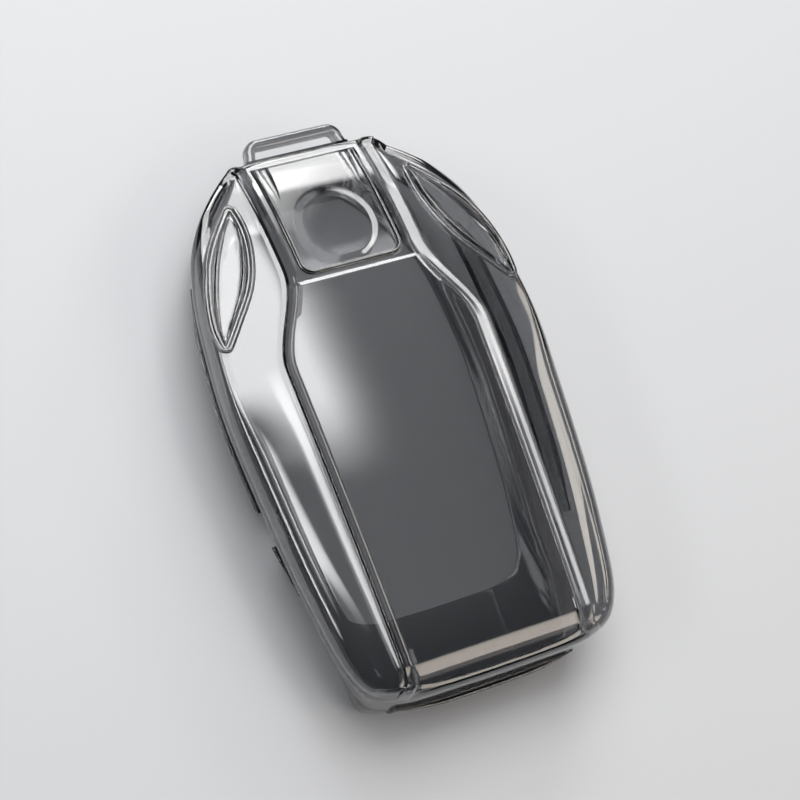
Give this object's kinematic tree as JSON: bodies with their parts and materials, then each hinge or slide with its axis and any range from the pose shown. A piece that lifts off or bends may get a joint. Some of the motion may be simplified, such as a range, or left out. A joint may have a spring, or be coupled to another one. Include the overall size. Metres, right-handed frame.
{
  "type": "key fob cover",
  "caption": "Clear snap-together cover for a key fob, with a press panel, two press pads and a loop for a key ring.",
  "frame": {"origin": "middle of the bounding box, on the flat rear face of the rear shell", "axes": "+Z from the rear opening to the front face, +Y along the length towards the key loop, +X to the right when the front is seen with the loop at the top"},
  "size_m": [0.0596, 0.0988, 0.0185],
  "materials": {
    "clear_shell": "clear, slightly smoky, high gloss moulded plastic",
    "clear_pad": "clear, slightly smoky, high gloss moulded plastic, thinner so that it gives under a finger"
  },
  "bodies": {
    "rear": {"rear_shell": "clear_shell"},
    "front": {"front_shell": "clear_shell", "key_loop": "clear_shell"},
    "panel": {"button_panel": "clear_pad"},
    "left_pad": {"left_leaf_pad": "clear_pad"},
    "right_pad": {"right_leaf_pad": "clear_pad"}
  },
  "joints": [
    {"name": "front_lift", "type": "slide", "parent": "rear", "child": "front", "axis": [0, 0, 1], "range_m": [0, 0.025]},
    {"name": "panel_press", "type": "hinge", "parent": "front", "child": "panel", "pos_m": [0, 0.04388, 0.0109], "axis": [1, 0, 0], "range_deg": [0, 2], "stiffness_Nm_per_rad": 0.3},
    {"name": "left_pad_press", "type": "slide", "parent": "front", "child": "left_pad", "axis": [0, 0, -1], "range_m": [0, 0.0005], "stiffness_N_per_m": 1500},
    {"name": "right_pad_press", "type": "slide", "parent": "front", "child": "right_pad", "axis": [0, 0, -1], "range_m": [0, 0.0005], "stiffness_N_per_m": 1500}
  ]
}
